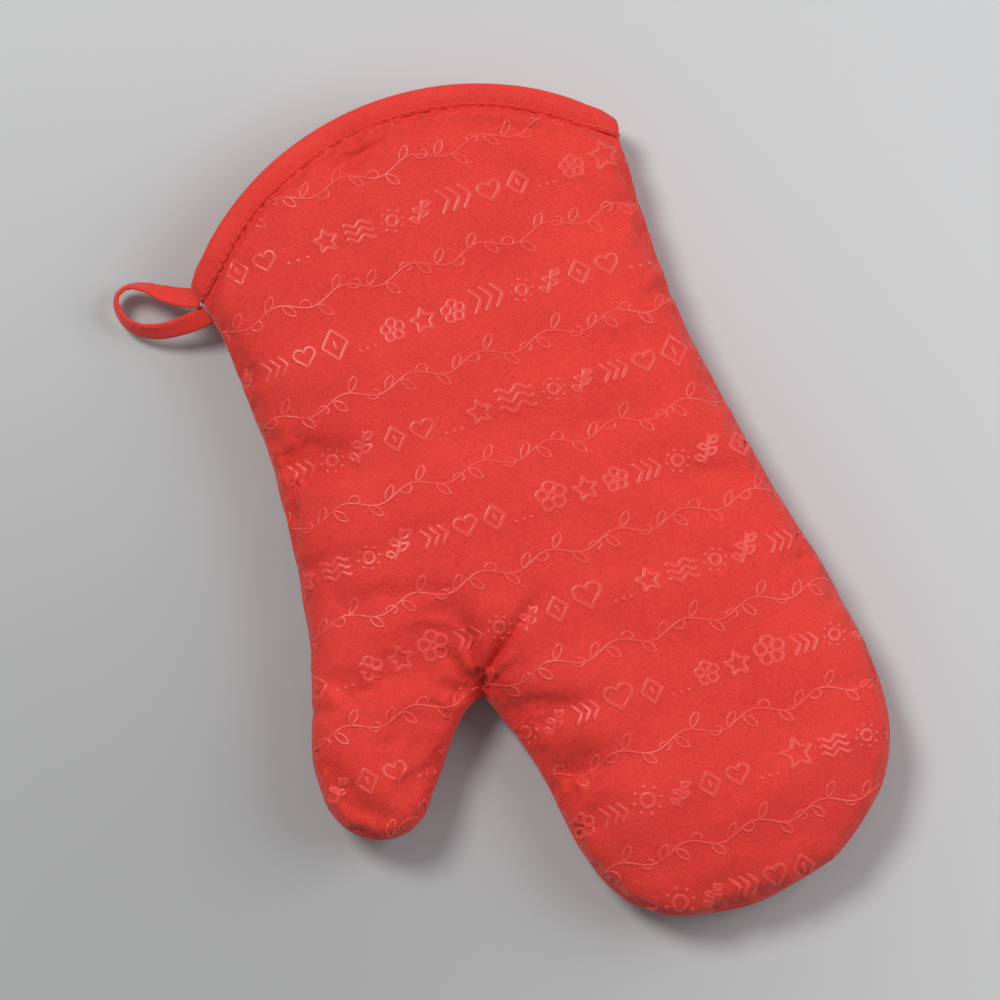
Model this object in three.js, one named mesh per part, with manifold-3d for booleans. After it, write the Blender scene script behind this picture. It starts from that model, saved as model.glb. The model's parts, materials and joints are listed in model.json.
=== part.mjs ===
// A quilted oven mitt, lying on its back with the palm up. Two outer panels, two batting pads and two
// lining panels are sewn round the edge, bound at the cuff with a folded tape, and hung by a tape loop.
// Millimetres. +Z is up, +Y runs from the cuff to the fingertips and +X points to the thumb side.
// While the pieces are made, z = 0 is the side seam and x = 0 is the middle line of the finger pocket.
import * as THREE from "three";
import { mergeVertices } from "three/addons/utils/BufferGeometryUtils.js";
import Module from "manifold-3d";

const wasm = await Module();
wasm.setup();

// ---- Driving dimensions ----

// Outline of the hand and finger pocket. Each width runs from side seam to side seam, and each shift is
// how far its middle lies from the finger pocket's middle line, towards the thumb.
const LENGTH = 330;
const CUFF_WIDTH = 165.5;
const CUFF_SHIFT = 3.3;
const CUFF_SIDE_DROP = 52;
const CUFF_FLARE = 0.27;
const MOUTH_LEAN = 9;
const WRIST_WIDTH = 163;
const WRIST_SHIFT = 10;
const WRIST_FROM_CROWN = 96;
const PALM_WIDTH = 172;
const PALM_SHIFT = 20;
const PALM_BELOW_CROTCH = 52;
const FINGER_WIDTH = 130;
const FINGERTIP_LENGTH = 61;
const FINGERTIP_LEAN = 5;
const CROTCH_FROM_TIP = 118;
const CROTCH_PAST_FINGER_SIDE = 4;
const ROUND_END_POWER = 2.4;

// The cuff's edge is an arc round a point inside the hand. The pockets are made longer, then cut by it.
const CUFF_RADIUS = 114;
const CUT_AWAY_LENGTH = 12;
const CUFF_CENTRE_SHIFT = 13;

// Thumb pocket: a curved middle line from inside the hand, past a bend, to the tip.
const THUMB_ROOT_INSET = 1;
const THUMB_ROOT_BELOW_CROTCH = 51;
const THUMB_BEND_OUT = 44;
const THUMB_BEND_BELOW_CROTCH = 13;
const THUMB_TIP_OUT = 62;
const THUMB_TIP_ABOVE_CROTCH = 27;
const THUMB_ROOT_WIDTH = 98;
const THUMB_MIDDLE_WIDTH = 63;
const THUMB_MIDDLE_FROM_TIP = 57;
const THUMB_END_WIDTH = 46;
const THUMB_END_LENGTH = 23;

// Heights above the side seam, and depth of the rounded underside before it flattens on the surface.
const SEAM_HEIGHT = 17;
const CUFF_TOP = 15;
const WRIST_TOP = 18.5;
const PALM_TOP = 21;
const FINGER_TOP = 20;
const THUMB_ROOT_TOP = 20.5;
const THUMB_TOP = 17.5;
const CUFF_UNDER = 14.8;
const BODY_UNDER = 19;
const THUMB_UNDER = 18.5;
const THUMB_LIFT = 0.4;
const TOP_POWER = 2.3;
const UNDER_POWER = 2.9;

// Layers, from the outside in, and the gap kept between neighbouring pieces.
const CLOTH = 0.8;
const BATTING = 6;
const LINING = 0.8;
const GAP = 0.3;

// Binding tape folded over the cuff's edge, and the line of thread that holds it down.
const BINDING_WIDTH = 9;
const BINDING_TAPE = 0.8;
const STITCH_FROM_INNER_EDGE = 1.2;
const THREAD = 0.6;

// Fold lines: the fingers fold at the knuckles, the thumb at its base.
const KNUCKLE_FROM_TIP = 106;
const CROTCH_CUT_INSET = 1.5;
const THUMB_BASE_REACH = 46;
const THUMB_BASE_DROP = 41;
const NOTCH_LEAN = 0.3;
const FOLD_GAP = 0.6;

// Hanging loop: a narrow tape sewn into the thumb end of the cuff, standing on its edge.
const LOOP_TAPE_WIDTH = 8;
const LOOP_TAPE = 1.6;
const LOOP_LENGTH = 29;
const LOOP_BREADTH = 17;
const LOOP_TURN = THREE.MathUtils.degToRad(-40);
const LOOP_DROOP = 8;
const LOOP_EYE_START = 4.8;
const LOOP_ROOT_PAST_CORNER = 10.6;
const LOOP_TAIL_LENGTH = 3;
const TAIL_CLEARANCE = 2;
const TACK_LENGTH = 3;

// Facets.
const AROUND = 18;
const BODY_STEPS = 8;
const THUMB_STEPS = 4;
const END_STEPS = 4;
const ARC_STEPS = 28;
const LOOP_ARC_STEPS = 6;
const MERGE_DISTANCE = 1e-4;
const HALVINGS = 40;
const FAR = 400;

// ---- Places worked out from the dimensions ----

const TIP_Y = LENGTH / 2;
const CROWN_Y = -LENGTH / 2;
const MOUTH_Y = CROWN_Y - CUT_AWAY_LENGTH;
const FINGER_HALF = FINGER_WIDTH / 2;
const CROTCH = new THREE.Vector2(FINGER_HALF + CROTCH_PAST_FINGER_SIDE, TIP_Y - CROTCH_FROM_TIP);
const KNUCKLE_Y = TIP_Y - KNUCKLE_FROM_TIP;
const CUFF_CENTRE = new THREE.Vector2(CUFF_CENTRE_SHIFT, CROWN_Y + CUFF_RADIUS);

// Insets of the nested surfaces, measured in from the outside of the outer cloth.
const BATTING_OUTSIDE = CLOTH + GAP;
const BATTING_INSIDE = BATTING_OUTSIDE + BATTING;
const LINING_OUTSIDE = BATTING_INSIDE + GAP;
const LINING_INSIDE = LINING_OUTSIDE + LINING;
const BINDING_OUTSIDE = -(GAP + BINDING_TAPE);
const BINDING_INSIDE = LINING_INSIDE + GAP + BINDING_TAPE;
const MOST_OUTSIDE = THREAD + GAP - BINDING_OUTSIDE;
const LAYERS_RADIUS = CUFF_RADIUS - BINDING_TAPE - GAP;

// Sections of the hand and finger pocket, from beyond the cuff to where the fingertip starts to round.
const CUFF_SIDE_Y = CROWN_Y + CUFF_SIDE_DROP;
const MOUTH_WIDTH = CUFF_WIDTH + CUFF_FLARE * (CUFF_SIDE_Y - MOUTH_Y);
const BODY_SECTIONS = [
  station(MOUTH_Y, MOUTH_WIDTH, CUFF_SHIFT - MOUTH_LEAN, CUFF_TOP, CUFF_UNDER),
  station(CUFF_SIDE_Y, CUFF_WIDTH, CUFF_SHIFT, CUFF_TOP, CUFF_UNDER),
  station(CROWN_Y + WRIST_FROM_CROWN, WRIST_WIDTH, WRIST_SHIFT, WRIST_TOP, BODY_UNDER),
  station(CROTCH.y - PALM_BELOW_CROTCH, PALM_WIDTH, PALM_SHIFT, PALM_TOP, BODY_UNDER),
  station(CROTCH.y, FINGER_HALF + CROTCH.x, (CROTCH.x - FINGER_HALF) / 2, PALM_TOP, BODY_UNDER),
  station(TIP_Y - FINGERTIP_LENGTH, FINGER_WIDTH, 0, FINGER_TOP, BODY_UNDER),
];

// The thumb's middle line, and its sections from inside the hand to where its end starts to round.
const THUMB_LINE = new THREE.QuadraticBezierCurve(
  new THREE.Vector2(FINGER_HALF - THUMB_ROOT_INSET, CROTCH.y - THUMB_ROOT_BELOW_CROTCH),
  new THREE.Vector2(FINGER_HALF + THUMB_BEND_OUT, CROTCH.y - THUMB_BEND_BELOW_CROTCH),
  new THREE.Vector2(FINGER_HALF + THUMB_TIP_OUT, CROTCH.y + THUMB_TIP_ABOVE_CROTCH),
);
const THUMB_LENGTH = THUMB_LINE.getLength();
const THUMB_SECTIONS = [
  station(0, THUMB_ROOT_WIDTH, 0, PALM_TOP, BODY_UNDER),
  station(THUMB_LENGTH - THUMB_MIDDLE_FROM_TIP, THUMB_MIDDLE_WIDTH, 0, THUMB_ROOT_TOP, THUMB_UNDER),
  station(THUMB_LENGTH - THUMB_END_LENGTH, THUMB_END_WIDTH, 0, THUMB_TOP, THUMB_UNDER),
];

function station(at, width, shift, top, under) {
  return { at, width, shift, top, under };
}

// A smooth curve through the stations, which gives a section's sizes at any place between them.
function through(stations) {
  const keys = ["width", "shift", "top", "under"];
  const places = stations.map((row) => row.at);
  const values = stations.flatMap((row) => keys.map((key) => row[key]));
  const curve = new THREE.CubicInterpolant(places, values, keys.length);
  return (place) => {
    const [width, shift, top, under] = curve.evaluate(place);
    return { width, shift, top, under };
  };
}

// ---- Solids ----

function signedPower(value, power) {
  return Math.sign(value) * Math.abs(value) ** power;
}

// One section across a pocket: rounded, and flattened at a depth where it rests.
function sectionRing(middle, forward, sizes, depth, inset, scale) {
  const ring = [];
  for (let i = 0; i < AROUND; i++) {
    const angle = (2 * Math.PI * i) / AROUND;
    const isTop = i < AROUND / 2;
    const power = 2 / (isTop ? TOP_POWER : UNDER_POWER);
    const halfHeight = (isTop ? sizes.top : sizes.under) - inset;
    const sideways = (sizes.width / 2 - inset) * scale * signedPower(Math.cos(angle), power);
    const height = halfHeight * scale * signedPower(Math.sin(angle), power);
    const x = middle.x + forward.y * sideways;
    const y = middle.y - forward.x * sideways;
    ring.push([x, y, Math.max(height, inset - depth)]);
  }
  return ring;
}

// How far along a rounded end each of its sections lies, and how much narrower it is.
function roundEnd() {
  const power = 2 / ROUND_END_POWER;
  return Array.from({ length: END_STEPS }, (_, i) => {
    const angle = (Math.PI / 2) * ((i + 0.5) / END_STEPS);
    return { along: Math.sin(angle) ** power, scale: Math.cos(angle) ** power };
  });
}

// A closed skin over the rings, with a flat start and a pointed end.
function loft(rings, start, end) {
  const points = [start, ...rings.flat(), end].flat();
  const endIndex = points.length / 3 - 1;
  const index = (ring, i) => 1 + ring * AROUND + (i % AROUND);
  const triangles = [];
  for (let i = 0; i < AROUND; i++) {
    triangles.push(0, index(0, i), index(0, i + 1));
    for (let ring = 0; ring < rings.length - 1; ring++) {
      triangles.push(index(ring, i), index(ring + 1, i), index(ring, i + 1));
      triangles.push(index(ring, i + 1), index(ring + 1, i), index(ring + 1, i + 1));
    }
    triangles.push(endIndex, index(rings.length - 1, i + 1), index(rings.length - 1, i));
  }
  return solid(new Float32Array(points), new Uint32Array(triangles));
}

function solid(vertProperties, triVerts) {
  return new wasm.Manifold(new wasm.Mesh({ numProp: 3, vertProperties, triVerts }));
}

function solidOf(geometry) {
  geometry.deleteAttribute("normal");
  geometry.deleteAttribute("uv");
  const merged = mergeVertices(geometry, MERGE_DISTANCE);
  return solid(merged.attributes.position.array, new Uint32Array(merged.index.array));
}

// The hand and finger pocket, inset from the outside of the outer cloth.
function handPocket(inset) {
  const forward = new THREE.Vector2(0, 1);
  const sizesAt = through(BODY_SECTIONS);
  const straightEnd = TIP_Y - FINGERTIP_LENGTH;
  const ringAt = (y, sizes, scale) =>
    sectionRing(new THREE.Vector2(sizes.shift, y), forward, sizes, SEAM_HEIGHT, inset, scale);
  const rings = [];
  for (let i = 0; i <= BODY_STEPS; i++) {
    const y = THREE.MathUtils.lerp(MOUTH_Y, straightEnd, i / BODY_STEPS);
    rings.push(ringAt(y, sizesAt(y), 1));
  }
  const endSizes = sizesAt(straightEnd);
  for (const { along, scale } of roundEnd()) {
    const y = straightEnd + (FINGERTIP_LENGTH - inset) * along;
    rings.push(ringAt(y, { ...endSizes, shift: FINGERTIP_LEAN * along }, scale));
  }
  const mouthMiddle = [sizesAt(MOUTH_Y).shift, MOUTH_Y, 0];
  return loft(rings, mouthMiddle, [FINGERTIP_LEAN, TIP_Y - inset, 0]);
}

// The thumb pocket, inset in the same way at both ends. Its flat start lies inside the hand pocket.
function thumbPocket(inset) {
  const sizesAt = through(THUMB_SECTIONS);
  const straightEnd = THUMB_LENGTH - THUMB_END_LENGTH;
  const start = MOST_OUTSIDE + inset;
  const depth = SEAM_HEIGHT - THUMB_LIFT;
  const ringAt = (s, sizes, scale) =>
    sectionRing(thumbMiddle(s), thumbForward(s), sizes, depth, inset, scale);
  const rings = [];
  for (let i = 0; i <= THUMB_STEPS; i++) {
    const s = THREE.MathUtils.lerp(start, straightEnd, i / THUMB_STEPS);
    rings.push(ringAt(s, sizesAt(s), 1));
  }
  const endSizes = sizesAt(straightEnd);
  for (const { along, scale } of roundEnd()) {
    rings.push(ringAt(straightEnd + (THUMB_END_LENGTH - inset) * along, endSizes, scale));
  }
  return loft(rings, [...thumbMiddle(start), 0], [...thumbMiddle(THUMB_LENGTH - inset), 0]);
}

// The thumb's middle line goes on straight past its tip, for the surfaces outside the cloth.
function thumbForward(s) {
  return THUMB_LINE.getTangentAt(Math.min(s / THUMB_LENGTH, 1));
}

function thumbMiddle(s) {
  const on = Math.min(s, THUMB_LENGTH);
  return THUMB_LINE.getPointAt(on / THUMB_LENGTH).addScaledVector(thumbForward(s), s - on);
}

function mittShape(inset) {
  return handPocket(inset).add(thumbPocket(inset));
}

function shellBetween(outsideInset, insideInset) {
  return mittShape(outsideInset).subtract(mittShape(insideInset));
}

// An upright prism over a closed outline.
function prism(shape, low = -FAR, high = FAR) {
  const geometry = new THREE.ExtrudeGeometry(shape, {
    depth: high - low,
    bevelEnabled: false,
    curveSegments: ARC_STEPS,
  });
  return solidOf(geometry.translate(0, 0, low));
}

function polygonPrism(points) {
  return prism(new THREE.Shape(points.map(([x, y]) => new THREE.Vector2(x, y))));
}

function blockBetween(low, high) {
  const size = new THREE.Vector3().subVectors(high, low);
  const middle = new THREE.Vector3().addVectors(low, high).multiplyScalar(0.5);
  return solidOf(new THREE.BoxGeometry(...size).translate(...middle));
}

// ---- Regions that the layers are cut by ----

// Everything on the mitt's side of an arc round the cuff's centre.
function insideCuff(radius) {
  const shape = new THREE.Shape();
  shape.moveTo(-FAR, CUFF_CENTRE.y);
  shape.lineTo(CUFF_CENTRE.x - radius, CUFF_CENTRE.y);
  shape.absarc(CUFF_CENTRE.x, CUFF_CENTRE.y, radius, Math.PI, 2 * Math.PI);
  shape.lineTo(FAR, CUFF_CENTRE.y);
  shape.lineTo(FAR, FAR);
  shape.lineTo(-FAR, FAR);
  return prism(shape);
}

function cuffBand(innerRadius, outerRadius) {
  return insideCuff(outerRadius).subtract(insideCuff(innerRadius));
}

// The thumb's side of its fold line and of the notch between thumb and fingers.
function thumbSide(shift) {
  const x = CROTCH.x - CROTCH_CUT_INSET - shift;
  const y = CROTCH.y - CROTCH_CUT_INSET;
  const notch = new THREE.Vector2(x + FAR * NOTCH_LEAN, y + FAR);
  const foldScale = FAR / THUMB_BASE_REACH;
  const foldEnd = new THREE.Vector2(x + FAR, y - foldScale * THUMB_BASE_DROP);
  return polygonPrism([[x, y], foldEnd.toArray(), [FAR + x, FAR + y], notch.toArray()]);
}

function across(lowX, highX, lowY, highY) {
  return polygonPrism([[lowX, lowY], [highX, lowY], [highX, highY], [lowX, highY]]);
}

function fingerSide() {
  return across(-FAR, FAR, KNUCKLE_Y + GAP / 2, FAR);
}

function cuffSideOfKnuckles() {
  return across(-FAR, FAR, -FAR, KNUCKLE_Y - GAP / 2);
}

function above(height) {
  return blockBetween(new THREE.Vector3(-FAR, -FAR, height), new THREE.Vector3(FAR, FAR, FAR));
}

function below(height) {
  return blockBetween(new THREE.Vector3(-FAR, -FAR, -FAR), new THREE.Vector3(FAR, FAR, height));
}

// ---- Pieces ----

const mitt = new THREE.Group();
const bareMitt = insideCuff(LAYERS_RADIUS);
const awayFromThumb = thumbSide(FOLD_GAP);
const ZONES = {
  hand: bareMitt.intersect(cuffSideOfKnuckles()).subtract(awayFromThumb),
  fingers: fingerSide().subtract(awayFromThumb),
  thumb: thumbSide(0),
};

function addPiece(name, shape, material) {
  const made = shape.getMesh();
  const geometry = new THREE.BufferGeometry();
  geometry.setAttribute("position", new THREE.BufferAttribute(made.vertProperties, 3));
  geometry.setIndex(new THREE.BufferAttribute(made.triVerts, 1));
  geometry.computeVertexNormals();
  const mesh = new THREE.Mesh(geometry, material);
  mesh.name = name;
  mitt.add(mesh);
}

function finish(color, roughness) {
  return new THREE.MeshStandardMaterial({ color, roughness, metalness: 0 });
}

// Each layer is a palm half and a back half, and each half is cut at the fold lines.
function addLayer(name, outsideInset, insideInset, seamGap, material) {
  const shell = shellBetween(outsideInset, insideInset);
  const halves = { palm: above(seamGap / 2), back: below(-seamGap / 2) };
  for (const [zone, region] of Object.entries(ZONES)) {
    for (const [half, side] of Object.entries(halves)) {
      addPiece(`${zone}_${name}_${half}`, shell.intersect(region).intersect(side), material);
    }
  }
}

// The thread of the side seam, which lies between the edges of the two outer panels.
function addSeamThread(material) {
  const edge = (CLOTH - THREAD) / 2;
  const level = above(-THREAD / 2).intersect(below(THREAD / 2));
  const strip = shellBetween(edge, edge + THREAD).intersect(level);
  const split = CROTCH.y - THUMB_BASE_DROP / 2;
  const hand = strip.intersect(ZONES.hand);
  const thumbEdge = hand.intersect(across(0, FAR, -FAR, FAR));
  addPiece("seam_thread_little_finger_side", hand.subtract(thumbEdge), material);
  addPiece("seam_thread_wrist", thumbEdge.intersect(across(0, FAR, -FAR, split)), material);
  addPiece("seam_thread_crotch", thumbEdge.intersect(across(0, FAR, split, FAR)), material);
  addPiece("seam_thread_fingers", strip.intersect(ZONES.fingers), material);
  addPiece("seam_thread_thumb", strip.intersect(ZONES.thumb), material);
}

// The binding tape is folded over the cuff's edge, outside and inside, all the way round the mouth.
function addBinding(material) {
  const folded = shellBetween(BINDING_OUTSIDE, BINDING_INSIDE);
  const room = shellBetween(-GAP, LINING_INSIDE + GAP).intersect(insideCuff(LAYERS_RADIUS + GAP));
  const band = cuffBand(CUFF_RADIUS - BINDING_WIDTH, CUFF_RADIUS);
  addPiece("cuff_binding", folded.intersect(band).subtract(room), material);
}

function addBindingStitch(material) {
  const lift = BINDING_OUTSIDE - GAP;
  const radius = CUFF_RADIUS - BINDING_WIDTH + STITCH_FROM_INNER_EDGE;
  const ring = shellBetween(lift - THREAD, lift).intersect(cuffBand(radius, radius + THREAD));
  addPiece("binding_topstitch", ring, material);
}

// An outline like a belt round two wheels on the x axis.
function belt(path, startX, startRadius, endX, endRadius) {
  const lean = Math.asin((endRadius - startRadius) / (endX - startX));
  const quarter = Math.PI / 2;
  path.absarc(endX, 0, endRadius, -quarter - lean, quarter + lean, false);
  path.absarc(startX, 0, startRadius, quarter + lean, 3 * quarter - lean, false);
  return path;
}

// Where the thumb's side of the mitt meets the cuff's curved edge, found by halving.
function cuffCornerY() {
  const sizesAt = through(BODY_SECTIONS);
  let low = CROWN_Y;
  let high = CUFF_CENTRE.y;
  for (let i = 0; i < HALVINGS; i++) {
    const y = (low + high) / 2;
    const { width, shift } = sizesAt(y);
    if (CUFF_CENTRE.distanceTo(new THREE.Vector2(shift + width / 2, y)) > CUFF_RADIUS) low = y;
    else high = y;
  }
  return low;
}

function loopEdge() {
  const y = cuffCornerY() + LOOP_ROOT_PAST_CORNER;
  const { width, shift } = through(BODY_SECTIONS)(y);
  return new THREE.Vector3(shift + width / 2 - BINDING_OUTSIDE, y, 0);
}

// The loop's free part stands on its edge and droops from the seam towards the surface.
function addLoop(material, threadMaterial) {
  const direction = new THREE.Vector3(Math.cos(LOOP_TURN), Math.sin(LOOP_TURN), 0);
  const edge = loopEdge();
  const eyeX = LOOP_LENGTH - LOOP_BREADTH / 2;
  const outline = belt(new THREE.Shape(), 0, LOOP_TAPE, eyeX, LOOP_BREADTH / 2);
  const eyeRadius = LOOP_BREADTH / 2 - LOOP_TAPE;
  outline.holes.push(belt(new THREE.Path(), LOOP_EYE_START, LOOP_TAPE / 2, eyeX, eyeRadius));
  const geometry = new THREE.ExtrudeGeometry(outline, {
    depth: LOOP_TAPE_WIDTH,
    bevelEnabled: false,
    curveSegments: LOOP_ARC_STEPS,
  });
  const pivotDistance = TAIL_CLEARANCE + LOOP_TAIL_LENGTH + GAP + LOOP_TAPE;
  const pivot = edge.clone().addScaledVector(direction, pivotDistance);
  const droop = new THREE.Matrix4().makeShear(0, -LOOP_DROOP / LOOP_LENGTH, 0, 0, 0, 0);
  geometry.translate(0, 0, -LOOP_TAPE_WIDTH / 2).applyMatrix4(droop);
  geometry.rotateZ(LOOP_TURN).translate(...pivot);
  addPiece("hanging_loop", solidOf(geometry), material);

  const tail = new THREE.BoxGeometry(LOOP_TAIL_LENGTH, 2 * LOOP_TAPE, LOOP_TAPE_WIDTH);
  const tailMiddle = edge.clone().addScaledVector(direction, TAIL_CLEARANCE + LOOP_TAIL_LENGTH / 2);
  addPiece("loop_tail", solidOf(tail.rotateZ(LOOP_TURN).translate(...tailMiddle)), material);

  const tack = new THREE.BoxGeometry(TACK_LENGTH, 2 * LOOP_TAPE, THREAD);
  const tackHeight = LOOP_TAPE_WIDTH / 2 + GAP + THREAD / 2;
  tack.rotateZ(LOOP_TURN).translate(tailMiddle.x, tailMiddle.y, tackHeight);
  addPiece("loop_bar_tack", solidOf(tack), threadMaterial);
}

const printedCloth = finish(0xd9433c, 0.82);
const tape = finish(0xd8403a, 0.85);
const redThread = finish(0xc7352f, 0.7);
const padding = finish(0xf0ece2, 0.95);
const liningCloth = finish(0xe9e2d4, 0.9);

addLayer("cloth", 0, CLOTH, THREAD + 2 * GAP, printedCloth);
addLayer("batting", BATTING_OUTSIDE, BATTING_INSIDE, GAP, padding);
addLayer("lining", LINING_OUTSIDE, LINING_INSIDE, GAP, liningCloth);
addSeamThread(redThread);
addBinding(tape);
addBindingStitch(redThread);
addLoop(tape, redThread);

// The mitt lies on the surface, with the middle of its outline over the origin.
const bounds = new THREE.Box3().setFromObject(mitt);
const middle = bounds.getCenter(new THREE.Vector3());
mitt.position.set(-middle.x, -middle.y, -bounds.min.z);

export default mitt;
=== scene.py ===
"""A quilted oven mitt lying palm up: printed cotton outside, wadding, a plain lining, a bound cuff
with a row of topstitching, and a tape hanging loop. Lengths are in millimetres, turned into metres
by MM when a mesh is made."""
import json
import math

import bpy
import numpy as np
from mathutils import Matrix, Vector, noise
from mathutils.bvhtree import BVHTree
from mathutils.geometry import delaunay_2d_cdt


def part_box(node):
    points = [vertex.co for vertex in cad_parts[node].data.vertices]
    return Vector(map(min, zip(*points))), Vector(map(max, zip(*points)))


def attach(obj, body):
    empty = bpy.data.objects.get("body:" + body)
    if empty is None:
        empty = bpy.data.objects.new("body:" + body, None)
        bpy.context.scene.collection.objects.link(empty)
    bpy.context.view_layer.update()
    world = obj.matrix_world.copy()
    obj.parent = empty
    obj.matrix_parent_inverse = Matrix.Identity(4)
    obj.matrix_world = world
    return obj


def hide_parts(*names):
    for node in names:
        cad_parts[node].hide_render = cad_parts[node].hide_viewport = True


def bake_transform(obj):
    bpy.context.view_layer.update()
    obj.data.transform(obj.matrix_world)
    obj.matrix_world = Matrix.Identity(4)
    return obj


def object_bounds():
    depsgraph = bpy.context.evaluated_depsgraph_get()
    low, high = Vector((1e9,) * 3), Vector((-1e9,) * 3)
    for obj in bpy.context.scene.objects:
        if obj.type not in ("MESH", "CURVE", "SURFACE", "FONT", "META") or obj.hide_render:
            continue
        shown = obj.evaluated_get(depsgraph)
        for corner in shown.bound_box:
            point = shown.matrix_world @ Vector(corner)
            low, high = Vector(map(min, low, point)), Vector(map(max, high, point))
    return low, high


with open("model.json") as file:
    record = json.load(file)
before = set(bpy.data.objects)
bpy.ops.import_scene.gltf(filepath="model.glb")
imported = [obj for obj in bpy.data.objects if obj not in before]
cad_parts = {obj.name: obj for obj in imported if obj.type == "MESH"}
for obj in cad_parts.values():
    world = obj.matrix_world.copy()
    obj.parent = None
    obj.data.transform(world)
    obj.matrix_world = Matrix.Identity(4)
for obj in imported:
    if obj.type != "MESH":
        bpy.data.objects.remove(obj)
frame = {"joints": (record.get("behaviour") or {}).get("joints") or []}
CAD_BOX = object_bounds()

# ---- Sizes ----

MITT_LENGTH = 330.0
MM = (CAD_BOX[1].y - CAD_BOX[0].y) / MITT_LENGTH

# The side seam in plan, from the little finger's end of the cuff round the fingertips to the crotch of
# the thumb, and from there round the thumb to the other end of the cuff.
FINGER_SEAM = [
    (-109.7, -114.6), (-103.8, -85.3), (-96.8, -53.3), (-92.9, -13.3), (-92.7, 34.8), (-93.2, 90.8),
    (-88.3, 122.8), (-74.8, 146.6), (-49.5, 161.8), (-24.0, 164.9), (-0.8, 162.0), (24.5, 149.5),
    (36.8, 124.0), (36.2, 85.0), (38.6, 58.8), (40.4, 48.0),
]
THUMB_SEAM = [
    (40.4, 48.0), (49.0, 50.6), (60.3, 58.6), (70.2, 67.2), (80.5, 75.0), (91.0, 77.4), (101.0, 73.8),
    (108.0, 64.5), (110.0, 52.5), (106.9, 38.0), (97.0, 20.5), (84.3, -5.3), (72.8, -37.3),
    (64.2, -69.3), (59.6, -101.3), (57.6, -122.0), (57.4, -138.6),
]
CROTCH = Vector(THUMB_SEAM[0])
CUFF_MIDDLE = Vector((-15.25, -50.95))
CUFF_RADIUS = 114.0

# Soft folds of the palm: the points along each, its depth (a ridge is negative) and its half width.
CREASES = [
    ([(40.3, 48.5), (37.4, 42.0), (34.0, 34.0), (32.4, 26.0), (32.0, 16.0)], 4.6, 1.5),
    ([(40.0, 47.8), (36.0, 43.4), (30.5, 40.0), (22.7, 36.2), (12.0, 31.6), (0.0, 26.6), (-10.0, 25.0)],
     4.6, 1.6),
    ([(39.6, 46.6), (33.0, 45.9), (26.0, 45.2), (16.0, 45.6)], 2.4, 1.3),
    ([(40.4, 46.5), (40.6, 40.0), (42.5, 32.0), (46.0, 22.0)], 2.6, 1.4),
    ([(41.5, 47.0), (47.5, 42.5), (54.0, 35.0)], 1.8, 1.5),
    ([(36.4, 38.0), (29.0, 32.0), (18.0, 25.0), (4.0, 18.0)], -2.2, 4.0),
    ([(36.4, 44.5), (29.0, 42.4), (21.0, 40.6)], -1.3, 1.7),
    ([(38.8, 57.5), (28.0, 60.0), (16.8, 65.5), (4.0, 74.0), (-8.0, 84.0)], 1.8, 3.2),
    ([(38.4, 61.0), (31.0, 63.0), (22.0, 67.0)], 1.6, 1.5),
    ([(-96.2, -47.0), (-86.0, -49.5), (-72.0, -47.0)], 1.9, 2.0),
    ([(67.0, -54.0), (57.0, -53.0), (44.0, -48.0)], 2.2, 2.0),
    ([(65.2, -61.0), (58.0, -60.5), (50.0, -62.0)], 1.4, 1.6),
    ([(36.4, 90.5), (30.0, 89.0), (20.0, 89.6)], 1.8, 1.7),
    ([(36.8, 101.0), (31.0, 99.0), (25.0, 98.5)], 1.3, 1.4),
    ([(37.0, 110.0), (31.0, 107.0), (22.0, 106.0)], 1.7, 1.7),
    ([(-93.0, 62.0), (-85.0, 63.2), (-73.0, 60.5)], 1.6, 2.0),
    ([(-103.0, -83.0), (-94.0, -84.5), (-83.0, -82.0)], 1.8, 1.9),
    ([(-101.0, -72.0), (-94.0, -71.0), (-87.0, -72.5)], 1.2, 1.5),
    ([(98.5, 21.0), (90.0, 26.0), (80.0, 28.5)], 1.7, 1.7),
    ([(77.5, -25.0), (68.0, -23.5), (56.0, -26.5)], 1.7, 2.1),
    ([(60.0, -98.0), (50.0, -95.0), (36.0, -96.0)], 1.4, 2.4),
    ([(-30.0, -30.0), (-10.0, -36.0), (12.0, -35.0)], 0.9, 5.5),
    ([(-62.0, 6.0), (-44.0, 0.0), (-24.0, 3.0)], 0.9, 5.0),
]

# How far apart points lie in plan: inside a panel, along the seam, and within CREASE_ZONE of a fold.
PITCH = 2.5
SEAM_PITCH = 1.7
FINE_PITCH = 1.25
CREASE_ZONE = 7.0

# The rounded edge beside the seam: its notch, its radius and the turns of its rungs in degrees.
SEAM_NOTCH = 2.1
EDGE_RADIUS = 9.0
EDGE_TURNS = [0, 9, 18, 29, 42, 56, 69]
END_RUNGS = 11

ROUNDING = 17.0
FULLNESS = 0.56
REST_GAP = 0.3
CLOTH_EASE = 0.09
MOST_SETTLING = 3.0

CLOTH = 0.8
WADDING = 6.0
LINING = 0.8
LAYER_GAP = 0.3
EDGE_SETBACK = 2.2
CROTCH_CLEARANCE = 4.5
SEAM_ALLOWANCE = 8.0

BINDING_WIDTH = 9.0
CUFF_ZONE_TOP = -60
STITCH_PITCH = 3.7
STITCH_LENGTH = 2.7
THREAD = 0.5

SEAM_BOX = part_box("seam_thread_little_finger_side")
SEAM_HEIGHT = (SEAM_BOX[0].z + SEAM_BOX[1].z) / 2 / MM


# ---- Curves and small helpers ----

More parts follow.
